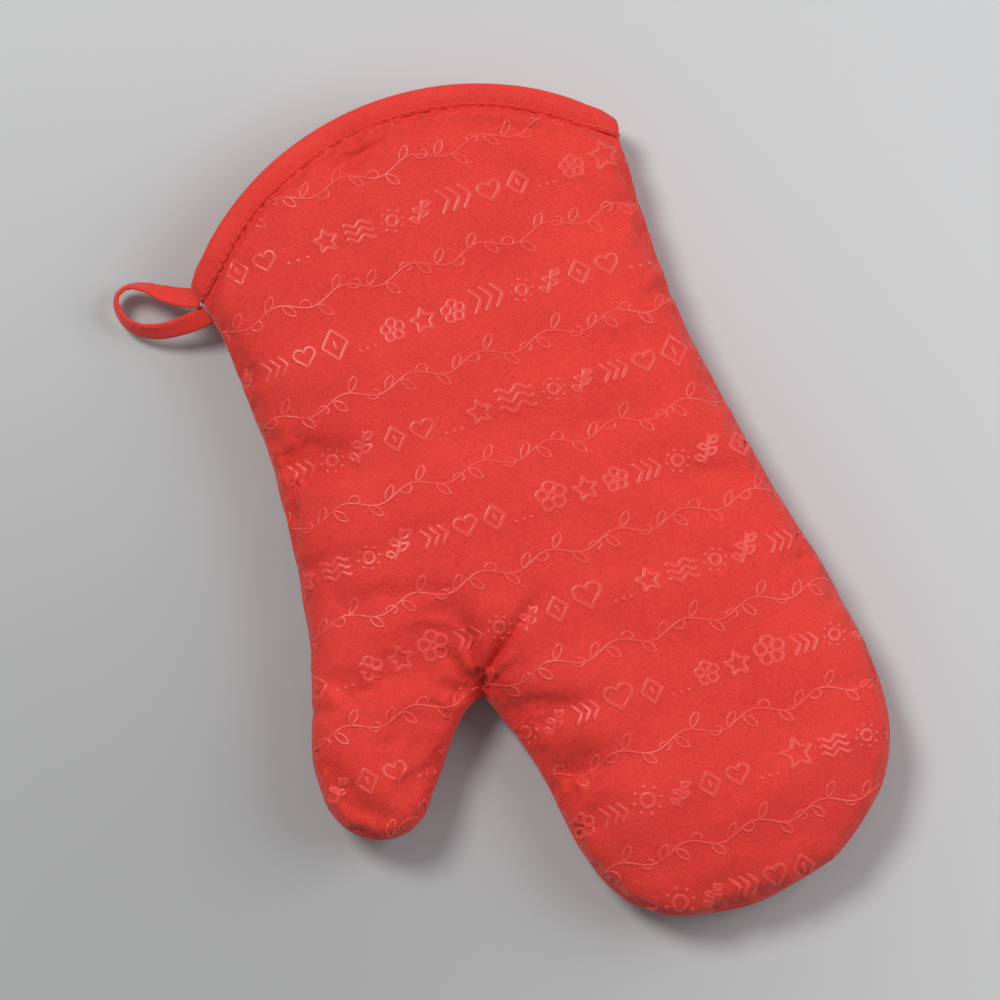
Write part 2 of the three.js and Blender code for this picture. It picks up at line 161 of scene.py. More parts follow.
def smooth_line(points, pitch):
    """Points at an even pitch along a smooth curve through the given ones."""
    given = np.array(points, float)
    padded = np.vstack([2 * given[0] - given[1], given, 2 * given[-1] - given[-2]])
    fine = []
    for a, b, c, d in zip(padded, padded[1:], padded[2:], padded[3:]):
        t = np.linspace(0, 1, 24, endpoint=False)[:, None]
        fine.append(0.5 * (2 * b + (c - a) * t + (2 * a - 5 * b + 4 * c - d) * t ** 2
                           + (3 * b - 3 * c + d - a) * t ** 3))
    return even(np.vstack(fine + [given[-1:]]), pitch)


def even(line, pitch):
    """The same line with its points at an even pitch."""
    steps = np.linalg.norm(np.diff(line, axis=0), axis=1)
    along = np.concatenate([[0], np.cumsum(steps)])
    count = max(2, round(along[-1] / pitch) + 1)
    places = np.linspace(0, along[-1], count)
    return np.stack([np.interp(places, along, line[:, k]) for k in range(line.shape[1])], axis=1)


def unit(vectors):
    return vectors / np.maximum(np.linalg.norm(vectors, axis=-1, keepdims=True), 1e-9)


def step(low, high, value):
    """0 below low, 1 above high, and smooth between."""
    t = np.clip((value - low) / (high - low), 0, 1)
    return t * t * (3 - 2 * t)


def rolling(points, size, seed):
    """Smooth noise from -1 to 1 at each point, with features about as wide as size."""
    shift = Vector((seed * 17.3, seed * 5.1, seed * 9.7))
    return np.array([noise.noise(Vector(p) / size + shift) for p in points]) * 1.6


def nearest(points, others):
    """How far each point is from the nearest of some others, and which of them that is."""
    found = []
    for i in range(0, len(points), 1000):
        away = np.linalg.norm(points[i:i + 1000, None] - others[None], axis=2)
        found.append((away.min(axis=1), away.argmin(axis=1)))
    return tuple(np.concatenate(several) for several in zip(*found))


def from_cuff(xy):
    """How far places in plan are in from the cuff's edge, or far more than enough away from it."""
    gap = CUFF_RADIUS - np.linalg.norm(xy - np.array(CUFF_MIDDLE), axis=1)
    return np.where(xy[:, 1] < CUFF_ZONE_TOP, gap, 99)


def plain_mesh(name, vertices, faces):
    mesh = bpy.data.meshes.new(name)
    mesh.from_pydata([tuple(v) for v in vertices], [], [tuple(int(i) for i in f) for f in faces])
    return mesh


# ---- Plan of a panel ----

class Plan:
    """One panel in plan: a ladder of narrow rungs along the side seam, and even triangles inside it."""

    def __init__(self):
        finger = smooth_line(FINGER_SEAM, SEAM_PITCH)
        thumb = smooth_line(THUMB_SEAM, SEAM_PITCH)
        self.crotch_index = len(finger) - 1
        self.seam = np.vstack([finger, thumb[1:]])
        self.inward = self._inward()
        self.turns = np.radians(EDGE_TURNS)
        self.insets = EDGE_RADIUS * (1 - np.cos(self.turns))
        inner = self.seam + self.inward * self.insets[-1]
        cuff = self._cuff_arc(inner[-1], inner[0])
        self._fill(inner, cuff)

    def _inward(self):
        """The way into the panel from each seam point, turned along the cuff's edge at the two ends."""
        along = unit(np.gradient(self.seam, axis=0))
        inward = np.stack([along[:, 1], -along[:, 0]], axis=1)
        kernel = np.array([1, 2, 3, 2, 1]) / 9
        padded = np.pad(inward, ((2, 2), (0, 0)), mode="edge")
        inward = np.stack([np.convolve(padded[:, k], kernel, "valid") for k in (0, 1)], axis=1)
        for end, sign in ((0, 1), (-1, -1)):
            spoke = unit(self.seam[end] - np.array(CUFF_MIDDLE))
            edge_way = np.array([-spoke[1], spoke[0]]) * sign
            for i in range(END_RUNGS):
                k = i if end == 0 else -1 - i
                inward[k] = edge_way * (1 - i / END_RUNGS) + inward[k] * (i / END_RUNGS)
        return unit(inward)

    def _cuff_arc(self, start, end):
        angles = [math.atan2(p[1] - CUFF_MIDDLE.y, p[0] - CUFF_MIDDLE.x) for p in (start, end)]
        count = round(abs(angles[0] - angles[1]) * CUFF_RADIUS / PITCH)
        turn = np.linspace(angles[0], angles[1], count + 1)
        radius = np.linspace(math.dist(start, CUFF_MIDDLE), math.dist(end, CUFF_MIDDLE), count + 1)
        radius = radius + (CUFF_RADIUS - radius) * step(0, 0.12, np.sin(np.linspace(0, np.pi, count + 1)))
        return np.stack([CUFF_MIDDLE.x + radius * np.cos(turn),
                         CUFF_MIDDLE.y + radius * np.sin(turn)], axis=1)

    def _fill(self, inner, cuff):
        """Triangles inside the ladder, with the line between hand and thumb kept as edges."""
        loop = np.vstack([inner, cuff[1:-1]])
        fold = self._fold_line(inner)
        edge = np.vstack([loop, fold])
        folds = np.vstack([smooth_line(line, 2.0) for line, _, _ in CREASES])
        coarse = self._grid(loop, PITCH)
        fine = self._grid(loop, FINE_PITCH)
        coarse = coarse[nearest(coarse, folds)[0] > CREASE_ZONE]
        fine = fine[nearest(fine, folds)[0] <= CREASE_ZONE]
        coarse = coarse[nearest(coarse, edge)[0] > 0.6 * PITCH]
        fine = fine[nearest(fine, edge)[0] > 0.7 * FINE_PITCH]
        points = np.vstack([loop, fold[1:-1], coarse, fine])
        count = len(loop)
        edges = [(i, (i + 1) % count) for i in range(count)]
        chain = [self.crotch_index, *range(count, count + len(fold) - 2), self.fold_end]
        edges += list(zip(chain, chain[1:]))
        places, _, faces, sources, _, _ = delaunay_2d_cdt(
            [Vector(p) for p in points], edges, [list(range(count))], 1, 1e-4)
        self.points = np.array([tuple(p) for p in places])
        self.triangles = np.array([f for f in faces if len(f) == 3])
        found = {source: i for i, several in enumerate(sources) for source in several}
        self.loop_ids = np.array([found[i] for i in range(len(inner))])
        self.cuff_ids = np.array([found[i] for i in range(len(inner) - 1, count)] + [found[0]])

    def _grid(self, loop, pitch):
        """Evenly spaced places inside the loop, in staggered rows."""
        rows = []
        low, high = loop.min(0), loop.max(0)
        for j, y in enumerate(np.arange(low[1], high[1], pitch * math.sqrt(0.75))):
            x = np.arange(low[0] + (j % 2) * pitch / 2, high[0], pitch)
            rows.append(np.stack([x, np.full_like(x, y)], axis=1))
        grid = np.vstack(rows)
        return grid[inside(grid, loop)]

    def _fold_line(self, inner):
        """From the crotch across the base of the thumb to the wrist's seam, along the thumb's joint."""
        way = np.array(THUMB_AXIS.xy)
        start = inner[self.crotch_index]
        offsets = inner[self.crotch_index + 6:] - start
        across = np.abs(offsets[:, 0] * way[1] - offsets[:, 1] * way[0])
        self.fold_end = self.crotch_index + 6 + int(np.argmin(across))
        return even(np.vstack([start, inner[self.fold_end]]), FINE_PITCH)


def inside(points, loop):
    """Which points lie inside a closed outline."""
    x, y = points[:, 0, None], points[:, 1, None]
    a, b = loop, np.roll(loop, -1, axis=0)
    crosses = (a[:, 1] > y) != (b[:, 1] > y)
    rise = np.where(b[:, 1] == a[:, 1], 1e-9, b[:, 1] - a[:, 1])
    at = (b[:, 0] - a[:, 0]) * (y - a[:, 1]) / rise + a[:, 0]
    return np.sum(crosses & (x < at), axis=1) % 2 == 1


joints = {joint["name"]: joint for joint in frame["joints"]}
THUMB_AXIS = Vector(joints["thumb_fold"]["axis"])
THUMB_PIVOT = Vector(joints["thumb_fold"]["pos_m"])


# ---- Stuffed shape ----

class Form:
    """Both panels stuffed: how far each stands off the side seam, with its soft creases."""

    def __init__(self, plan):
        self.plan = plan
        self.swell = self._solve()

    def _solve(self):
        """A soft dome over the plan: 0 at the side seam, 1 far from it, and free at the cuff's edge."""
        plan = self.plan
        points, triangles = plan.points, plan.triangles
        count = len(points)
        pull = {}
        area = np.zeros(count)
        for a, b, c in triangles:
            for i, j, k in ((a, b, c), (b, c, a), (c, a, b)):
                u, v = points[i] - points[k], points[j] - points[k]
                cross = abs(u[0] * v[1] - u[1] * v[0])
                key = (min(i, j), max(i, j))
                pull[key] = pull.get(key, 0) + 0.5 * float(u @ v) / cross
                area[k] += cross / 6
        pairs = np.array(list(pull))
        pulls = np.maximum(np.array(list(pull.values())), 0.02)
        fixed = plan.loop_ids
        edge_swell = 1 - math.exp(-plan.insets[-1] / ROUNDING)
        swell = np.full(count, 0.9)
        swell[fixed] = edge_swell
        source = area / ROUNDING ** 2
        total = (np.bincount(pairs[:, 0], pulls, count) + np.bincount(pairs[:, 1], pulls, count) + source)
        for _ in range(500):
            flow = (np.bincount(pairs[:, 0], pulls * swell[pairs[:, 1]], count)
                    + np.bincount(pairs[:, 1], pulls * swell[pairs[:, 0]], count) + source)
            swell = flow / total
            swell[fixed] = edge_swell
        return swell

    def loft(self, points, side):
        """The tallest that the panel could stand off the seam at each place."""
        y = points[:, 1]
        if side > 0:
            height = np.interp(y, [-165, -125, -69, 0, 60, 104, 165], [14.5, 15.5, 18.5, 21, 20.6, 20, 19.5])
            thumb = 3.0
        else:
            height = np.interp(y, [-165, -125, -69, 0, 60, 165], [14.5, 15.5, 18, 19.5, 19.5, 19])
            thumb = 4.0
        over = (points - np.array(THUMB_PIVOT.xy) / MM) @ np.array([-THUMB_AXIS.y, THUMB_AXIS.x])
        return height + thumb * step(-10, 35, over) * step(30, 60, points[:, 0])

    def panel(self, side):
        """Vertices and faces of one panel's outer face. side is 1 for the palm and -1 for the back."""
        plan = self.plan
        tall = self.loft(plan.points, side) * self.swell ** FULLNESS
        rows = []
        for inset, turn in zip(plan.insets[:-1], plan.turns[:-1]):
            notch = SEAM_NOTCH * math.exp(-(turn / 0.2) ** 2)
            share = ((1 - math.exp(-inset / ROUNDING)) / (1 - math.exp(-plan.insets[-1] / ROUNDING)))
            lift = tall[plan.loop_ids] * share ** FULLNESS
            xy = plan.seam + plan.inward * (inset + notch)
            rows.append(np.column_stack([xy, lift]))
        body = np.column_stack([plan.points, tall])
        ladder = len(plan.seam) * len(rows)
        vertices = np.vstack(rows + [body])
        faces = []
        long = len(plan.seam)
        ids = [np.arange(long) + r * long for r in range(len(rows))] + [plan.loop_ids + ladder]
        for near, far in zip(ids, ids[1:]):
            faces += [(near[i], far[i], far[i + 1], near[i + 1]) for i in range(long - 1)]
        faces += [tuple(t + ladder) for t in plan.triangles]
        return vertices, faces, ids, ladder


def finish_heights(vertices, side):
    """Heights above the surface that the mitt lies on. The back flattens where it rests."""
    made = vertices.copy()
    if side > 0:
        made[:, 2] = SEAM_HEIGHT + vertices[:, 2]
    else:
        depth = SEAM_HEIGHT - REST_GAP
        sharp = 9
        made[:, 2] = SEAM_HEIGHT - vertices[:, 2] / (1 + (vertices[:, 2] / depth) ** sharp) ** (1 / sharp)
    return made


def creases(points, spread=1.0):
    """How deep the folds and how high the ridges go. Where folds meet, the deepest nearly rules."""
    deep_power = np.zeros(len(points))
    raised = np.zeros(len(points))
    for line, deep, wide in CREASES:
        path = smooth_line(line, 1.5)
        away, place = nearest(points, path)
        along = np.linspace(0, 1, len(path))[place]
        width = wide * (1 + 1.1 * along) * spread
        amount = abs(deep) * (1 - step(0.3, 1.0, along)) * np.exp(-(away / width) ** 2)
        if deep > 0:
            deep_power += amount ** 4
        else:
            raised += amount
    return deep_power ** 0.25, raised


def mesh_normals(vertices, faces):
    mesh = plain_mesh("normals", vertices, faces)
    mesh.update()
    normals = np.zeros(len(vertices) * 3)
    mesh.vertex_normals.foreach_get("vector", normals)
    bpy.data.meshes.remove(mesh)
    return normals.reshape(-1, 3)


def settled(vertices, faces, hold):
    """The cloth after it is blown against its stitching: a little more cloth than seam, so it wrinkles."""
    mesh = plain_mesh("settling", vertices * MM, faces)
    piece = bpy.data.objects.new("settling", mesh)
    scene = bpy.context.scene
    scene.collection.objects.link(piece)
    held = piece.vertex_groups.new(name="held")
    for i, weight in enumerate(hold):
        held.add([i], float(weight), "REPLACE")
    cloth = piece.modifiers.new("settle", "CLOTH")
    sewn = cloth.settings
    sewn.quality = 6
    sewn.mass = 0.15
    sewn.tension_stiffness = sewn.compression_stiffness = 25
    sewn.shear_stiffness = 8
    sewn.bending_stiffness = 0.05
    sewn.air_damping = 3
    sewn.use_pressure = True
    sewn.uniform_pressure_force = 3
    sewn.shrink_min = -CLOTH_EASE
    sewn.vertex_group_mass = "held"
    sewn.effector_weights.gravity = 0
    cloth.point_cache.frame_start, cloth.point_cache.frame_end = 1, 20
    for moment in range(1, 21):
        scene.frame_set(moment)
    ready = piece.evaluated_get(bpy.context.evaluated_depsgraph_get()).to_mesh()
    places = np.zeros(len(vertices) * 3)
    ready.vertices.foreach_get("co", places)
    bpy.data.objects.remove(piece)
    bpy.data.meshes.remove(mesh)
    scene.frame_set(1)
    moved = places.reshape(-1, 3) / MM - vertices
    far = np.linalg.norm(moved, axis=1)[:, None]
    return vertices + moved * (MOST_SETTLING * np.tanh(far / MOST_SETTLING) / np.maximum(far, 1e-9))


class Panel:
    """One outer panel: its outer face, with the seam's puckers, the soft waves and the creases."""

    def __init__(self, form, side):
        self.side = side
        rough, faces, ids, ladder = form.panel(side)
        self.faces = [f if side > 0 else f[::-1] for f in faces]
        self.seam_ids = ids[0]
        plan = form.plan
        self.cuff_ids = np.concatenate([[row[-1] for row in ids[:-1]], plan.cuff_ids + ladder,
                                        [row[0] for row in ids[:-1]][::-1]])
        base = finish_heights(rough, side)
        self.plan_xy = np.vstack([*(plan.seam + plan.inward * i for i in plan.insets[:-1]), plan.points])
        self.away, place = nearest(self.plan_xy, plan.seam)
        self.along = place * SEAM_PITCH
        self.from_cuff = from_cuff(self.plan_xy)
        self.ground = step(0.6, 3.0, base[:, 2])
        normals = mesh_normals(base, self.faces)
        shape = settled(base + normals * self._relief(base)[:, None], self.faces, self._hold())
        if side > 0:
            ways, near_seam = mesh_normals(shape, self.faces), step(-0.5, 2.0, self.away)
            self.under = shape - ways * (creases(self.plan_xy, 2.4)[0] * 1.45 * near_seam)[:, None]
            folds, ridges = creases(self.plan_xy)
            shape = shape - ways * ((folds - ridges) * near_seam)[:, None]
        shape[:, 2] = np.maximum(shape[:, 2], REST_GAP)
        self.vertices = shape
        self.normals = mesh_normals(self.vertices, self.faces)
        self.under_ways = normals
        if side < 0:
            self.under = self.vertices
        self.tree = BVHTree.FromPolygons([tuple(v) for v in self.vertices],
                                         [tuple(int(i) for i in f) for f in self.faces])

    def _relief(self, base):
        """What stands out from the plain stuffed shape, in millimetres."""
        seed = 3 if self.side > 0 else 8
        flat = np.column_stack([self.along, self.away * 0.35, np.zeros(len(base))])
        pucker = rolling(flat, 9.0, seed) * np.exp(-(self.away / 9.0) ** 2) * step(0, 2.0, self.away + 0.3)
        slow = rolling(flat, 26.0, seed + 1) * np.exp(-(self.away / 20.0) ** 2)
        row_way = np.array([-0.976, 0.2165])
        across = self.plan_xy @ np.array([0.2165, 0.976])
        waves = np.column_stack([self.plan_xy @ row_way * 0.42, across, np.zeros(len(base))])
        swell = rolling(waves, 26.0, seed + 2) + 0.5 * rolling(waves, 12.0, seed + 3)
        relief = 0.5 * pucker + 0.9 * slow + 1.1 * swell * step(2, 20, self.away)
        bound = np.exp(-(np.maximum(self.from_cuff - 8.5, 0) / 4.0) ** 2)
        relief = relief * (1 - 0.7 * bound) - 1.6 * bound * step(0.5, 5, self.away)
        return relief * np.where(self.side > 0, 1.0, self.ground)

    def _hold(self):
        """How firmly each place is held: fast at the seam and under the binding, free between them."""
        free = np.minimum(step(0.5, 3.5, self.away), step(8.5, 14.0, self.from_cuff))
        return np.maximum(1 - free, 1 - self.ground)

    def offset(self, depth):
        """The face moved in from the outside by a depth, less where the seam and binding press it flat."""
        pressed = np.minimum(0.12 + 0.88 * step(0, 15, self.away), 0.45 + 0.55 * step(2, 24, self.from_cuff))
        if depth <= CLOTH:
            made = self.vertices - self.normals * depth
        else:
            made = self.under - self.under_ways * (CLOTH + (depth - CLOTH) * pressed)[:, None]
            made = self.kept_inside(made, CLOTH + 0.5 * (depth - CLOTH) * pressed)
        inward = unit(np.array(CUFF_MIDDLE) - self.plan_xy)
        made[:, :2] += inward * (EDGE_SETBACK * (1 - step(0, 4.5, self.from_cuff)))[:, None]
        return made


    def kept_inside(self, places, least):
        """The places, moved in wherever the outer face comes nearer to them than it should."""
        made = places.copy()
        for i in np.flatnonzero(self.away > 6):
            near, way, _, _ = self.tree.find_nearest(Vector(places[i]))
            short = least[i] - (near - Vector(places[i])).dot(way)
            if short > 0:
                made[i] -= np.array(way) * short
        return made


# ---- Materials ----

class Link:
    """A shader socket that can be used in an expression."""

    def __init__(self, tree, socket):
        self.tree = tree
        self.socket = socket

    def _maths(self, operation, *values):
        node = self.tree.nodes.new("ShaderNodeMath")
        node.operation = operation
        for socket, value in zip(node.inputs, values):
            if isinstance(value, Link):
                self.tree.links.new(value.socket, socket)
            else:
                socket.default_value = value
        return Link(self.tree, node.outputs[0])

    def __add__(self, other):
        return self._maths("ADD", self, other)

    def __radd__(self, other):
        return self._maths("ADD", other, self)

    def __sub__(self, other):
        return self._maths("SUBTRACT", self, other)

    def __mul__(self, other):
        return self._maths("MULTIPLY", self, other)

    def sine(self):
        return self._maths("SINE", self)


class Finish:
    """A material's node tree, and the one way that its nodes are made."""

    def __init__(self, name):
        self.material = bpy.data.materials.new(name)
        self.material.use_nodes = True
        self.tree = self.material.node_tree
        self.tree.nodes.clear()

    def node(self, kind, settings, sockets, output=0):
        made = self.tree.nodes.new(kind)
        for key, value in settings.items():
            setattr(made, key, value)
        for key, value in sockets.items():
            if isinstance(value, Link):
                self.tree.links.new(value.socket, made.inputs[key])
            else:
                made.inputs[key].default_value = value
        return Link(self.tree, made.outputs[output]) if len(made.outputs) else None

    def mix(self, factor, a, b):
        return self.node("ShaderNodeMix", {"data_type": "RGBA"},
                         {0: factor, 6: (*a, 1), 7: (*b, 1)}, output=2)

    def noise(self, where, scale, detail=2.0):
        return self.node("ShaderNodeTexNoise", {}, {"Vector": where, "Scale": scale, "Detail": detail})

    def place(self):
        return self.node("ShaderNodeTexCoord", {}, {}, output="Object")

    def turned(self, where, angle, scale=(1, 1, 1)):
        return self.node("ShaderNodeMapping", {},
                         {"Vector": where, "Rotation": (0, 0, angle), "Scale": scale})

    def part(self, where, axis):
        return self.node("ShaderNodeSeparateXYZ", {}, {"Vector": where}, output=axis)

    def bump(self, height, strength, distance):
        return self.node("ShaderNodeBump", {},
                         {"Height": height, "Strength": strength, "Distance": distance})

    def surface(self, sockets):
        shader = self.node("ShaderNodeBsdfPrincipled", {}, sockets)
        self.node("ShaderNodeOutputMaterial", {}, {"Surface": shader})
        return self.material


def woven(name, deep, bright, thread, twill, grain, sheen, roughness):
    """Woven cloth: slanting twill lines crossed by the threads, heathering, and a soft sheen."""
    cloth = Finish(name)
    where = cloth.place()
    slant = cloth.turned(where, math.radians(twill))
    pitch = math.tau / (thread * MM)
    warp = (cloth.part(slant, "X") * pitch).sine()
    weft = (cloth.part(slant, "Y") * (pitch * 0.5)).sine()
    fibres = cloth.noise(cloth.turned(where, math.radians(twill), (1.0, 0.25, 1.0)), 2600.0, 3.0)
    slubs = cloth.noise(cloth.turned(where, math.radians(-13), (0.35, 1.0, 1.0)), 900.0, 2.0)
    cloudy = cloth.noise(where, 42.0, 4.0)
    specks = cloth.noise(where, 1500.0, 2.0)
    weave = warp * 0.26 + weft * 0.16 + (fibres - 0.5) * 2.2 + (slubs - 0.5) * 1.4 + (specks - 0.5) * 2.4
    shade = 0.5 + weave * (0.34 * grain) + (cloudy - 0.5) * 0.42
    return cloth.surface({
        "Base Color": cloth.mix(shade, deep, bright),
        "Roughness": roughness + (slubs - 0.5) * 0.16,
        "Normal": cloth.bump(weave * 0.5, 0.30 * grain, 0.12 * MM),
        "Sheen Weight": sheen,
        "Sheen Roughness": 0.45,
        "Specular IOR Level": 0.28,
    })


# ---- Meshes ----

def new_object(name, vertices, faces, material):
    mesh = plain_mesh(name, vertices * MM, faces)
    mesh.validate()
    mesh.polygons.foreach_set("use_smooth", [True] * len(mesh.polygons))
    mesh.materials.append(material)
    piece = bpy.data.objects.new(name, mesh)
    bpy.context.scene.collection.objects.link(piece)
    return piece


def border(faces):
    """The open edges of a face list, each running the way its face does."""
    seen = {}
    for f in faces:
        for a, b in zip(f, (*f[1:], f[0])):
            seen[(a, b)] = seen.get((a, b), 0) + 1
    return [edge for edge in seen if (edge[1], edge[0]) not in seen]


def layer(name, panel, outside, inside_depth, faces, material):
    """A closed layer of one panel between two depths, over the given faces, with even shading."""
    used = sorted({i for f in faces for i in f})
    index = {old: new for new, old in enumerate(used)}
    faces = [tuple(index[i] for i in f) for f in faces]
    count = len(used)
    inner_faces = [tuple(i + count for i in f[::-1]) for f in faces]
    rim = [(b, a, a + count, b + count) for a, b in border(faces)]
    both = np.vstack([panel.offset(depth)[used] for depth in (outside, inside_depth)])
    piece = new_object(name, both, faces + inner_faces + rim, material)
    normals = panel.normals[used]
    loops = np.empty(len(piece.data.loops), int)
    piece.data.loops.foreach_get("vertex_index", loops)
    corner = np.vstack([normals, -normals])[loops]
    corner[piece.data.polygons[2 * len(faces)].loop_start:] = 0
    piece.data.normals_split_custom_set([tuple(n) for n in corner])
    return piece


# ---- Layers ----

plan = Plan()
form = Form(plan)
palm = Panel(form, 1)
back = Panel(form, -1)
PANELS = {"palm": palm, "back": back}

red_cloth = woven("printed_cotton_twill", (0.56, 0.018, 0.014), (0.92, 0.062, 0.043),
                  0.62, 52, 1.0, 0.14, 0.74)
red_tape = woven("bias_cut_cotton_tape", (0.60, 0.020, 0.015), (0.94, 0.064, 0.045), 0.62, 7, 0.8, 0.14, 0.74)
wadding_finish = woven("white_wadding", (0.75, 0.72, 0.66), (0.93, 0.91, 0.87), 2.5, 20, 0.4, 0.1, 0.95)
lining_finish = woven("plain_lining_cotton", (0.66, 0.61, 0.53), (0.86, 0.82, 0.74), 0.8, 0, 0.8, 0.1, 0.9)


def twisted_thread():
    thread = Finish("red_sewing_thread")
    where = thread.place()
    strands = (thread.part(thread.turned(where, 0.9), "X") * (math.tau / (0.32 * MM))).sine()
    return thread.surface({
        "Base Color": thread.mix(strands * 0.5 + 0.5, (0.66, 0.026, 0.020), (0.88, 0.070, 0.052)),
        "Roughness": 0.55 + strands * 0.1,
        "Normal": thread.bump(strands, 0.3, 0.05 * MM),
        "Sheen Weight": 0.2,
    })


def silicone():
    grip = Finish("raised_silicone_print")
    where = grip.place()
    cloudy = grip.noise(where, 120.0, 3.0)
    fine = grip.noise(where, 2200.0, 2.0)
    return grip.surface({
        "Base Color": grip.mix(cloudy * 0.6 + fine * 0.4, (0.76, 0.052, 0.040), (0.87, 0.092, 0.072)),
        "Roughness": 0.30 + (fine - 0.5) * 0.16,
        "Normal": grip.bump(fine, 0.25, 0.06 * MM),
        "Specular IOR Level": 0.34,
    })


thread_finish = twisted_thread()
print_finish = silicone()

THUMB_OUT = Vector((-THUMB_AXIS.y, THUMB_AXIS.x, 0)).normalized()


def bend(piece, zone):
    """The piece's placement is baked into its mesh, alike for the thumb and for the rest."""
    if zone == "thumb":
        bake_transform(piece)
    else:
        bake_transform(piece)


def over_thumb(xy, past=-0.02, margin=6, lean=0.15):
    """Whether places in plan belong to the thumb: past its fold line, on its side of the crotch."""
    off = xy - np.array(CROTCH)
    return (off @ np.array(THUMB_OUT.xy) > past) & (off[..., 0] > lean * off[..., 1] - margin)


def zone_faces(panel, zone, clearance):
    """The faces of a panel's thumb or of the rest of it, further than the clearance from the crotch."""
    middles = np.array([panel.plan_xy[list(f)].mean(axis=0) for f in panel.faces])
    wanted = over_thumb(middles, 0.05, 2, 0.1) == (zone == "thumb")
    wanted &= np.linalg.norm(middles - np.array(CROTCH), axis=1) > clearance
    return [f for f, keep in zip(panel.faces, wanted) if keep]


LAYERS = [
    # name, depth of its outer and inner face, finish, material slot, CAD nodes' word
    ("outer_cloth", 0.0, CLOTH, red_cloth, "printed_cloth", "cloth"),
    ("wadding", CLOTH + LAYER_GAP, CLOTH + LAYER_GAP + WADDING - 0.6, wadding_finish, "batting", "batting"),
    ("lining", CLOTH + WADDING, CLOTH + WADDING + LINING, lining_finish, "lining", "lining"),
]


def add_layers():
    for side, panel in PANELS.items():
        for word, outside, inner, finish, slot_name, node_word in LAYERS:
            for zone in ("hand", "thumb"):
                faces = zone_faces(panel, zone, 0 if word == "outer_cloth" else CROTCH_CLEARANCE)
                piece = layer(f"{side}_{zone}_{word}", panel, outside, inner, faces, finish)
                zones = ("thumb",) if zone == "thumb" else ("hand", "fingers")
                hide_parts(*(f"{z}_{node_word}_{side}" for z in zones))
                bend(piece, zone)
                if word == "wadding":
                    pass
                else:
                    declare_sheet(piece)


def declare_sheet(piece):
    """Works out the flat size of a sewn panel, the cut that the stuffed shape was made from; the result is
    not kept.
    """
    xy = np.array([v.co.xy for v in piece.data.vertices])
    span = np.ptp(xy, axis=0) + 2 * SEAM_ALLOWANCE * MM
    area = sum(p.area for p in piece.data.polygons) / 2
    area = min(max(area * 1.02, 0.31 * span[0] * span[1]), span[0] * span[1])


# ---- Tubes and stitches ----

def sweep(line, sides, profile, closed=False):
    """Vertices and faces of a profile carried along a line. sides gives its two axes at each point."""
    across, out = sides
    count = len(profile)
    shape = np.array(profile)
    vertices = (line[:, None] + across[:, None] * shape[None, :, 0, None]
                + out[:, None] * shape[None, :, 1, None]).reshape(-1, 3)
    faces = []
    last = len(line) if closed else len(line) - 1
    for i in range(last):
        j = (i + 1) % len(line)
        for k in range(count):
            m = (k + 1) % count
            faces.append((i * count + k, j * count + k, j * count + m, i * count + m))
    if not closed:
        faces.append(tuple(range(count)))
        faces.append(tuple(range((len(line) - 1) * count, len(line) * count))[::-1])
    return vertices, faces


def round_profile(wide):
    turn = np.linspace(0, math.tau, 8, endpoint=False)
    return [(wide / 2 * math.cos(t), wide / 2 * math.sin(t)) for t in turn]


def gathered(parts):
    """Several lists of vertices and faces as one."""
    vertices, faces, first = [], [], 0
    for v, f in parts:
        vertices.append(v)
        faces += [tuple(i + first for i in face) for face in f]
        first += len(v)
    return np.vstack(vertices), faces


def stitch_row(line, out, length, pitch, thickness, sunk):
    """A row of stitches along a line: short arched lengths of thread that dive in at both ends."""
    steps = np.linalg.norm(np.diff(line, axis=0), axis=1)
    along = np.concatenate([[0], np.cumsum(steps)])
    parts = []
    for start in np.arange(pitch / 2, along[-1] - length, pitch):
        places = np.linspace(start, start + length, 7)
        middle = np.stack([np.interp(places, along, line[:, k]) for k in range(3)], axis=1)
        up = unit(np.stack([np.interp(places, along, out[:, k]) for k in range(3)], axis=1))
        arch = np.sin(np.linspace(0, np.pi, 7))
        middle = middle + up * (thickness * 0.55 * arch - sunk * (1 - arch))[:, None]
        way = unit(np.gradient(middle, axis=0))
        side = unit(np.cross(way, up))
        parts.append(sweep(middle, (side, np.cross(side, way)), round_profile(thickness)))
    return gathered(parts)


# ---- Binding ----

BINDING_PROFILE = [
    # along the cuff's outward way, and out from the cloth's face
    (-9.0, -0.25), (-8.95, 0.25), (-8.6, 0.75), (-7.9, 1.0), (-6.9, 1.25), (-5.6, 1.6), (-4.2, 1.8),
    (-2.8, 1.75), (-1.5, 1.35), (-0.6, 0.6), (-0.05, -0.6), (0.15, -1.9), (0.0, -3.2), (-0.6, -4.4),
    (-1.8, -5.2), (-3.6, -5.6), (-6.0, -5.6), (-8.0, -5.2), (-8.9, -4.8), (-9.0, -4.3), (-7.0, -4.2),
    (-3.0, -4.2), (-1.6, -3.4), (-1.2, -2.0), (-1.6, -0.6), (-3.0, 0.2), (-7.0, -0.1),
]
STITCH_INSET = 8.0
STITCH_ROWS = [(0.85, 1), (-5.5, -1)]


def closed_smooth(values, reach):
    kernel = np.hanning(2 * reach + 3)[1:-1]
    kernel /= kernel.sum()
    padded = np.vstack([values[-reach:], values, values[:reach]])
    return np.stack([np.convolve(padded[:, k], kernel, "valid") for k in range(values.shape[1])], axis=1)


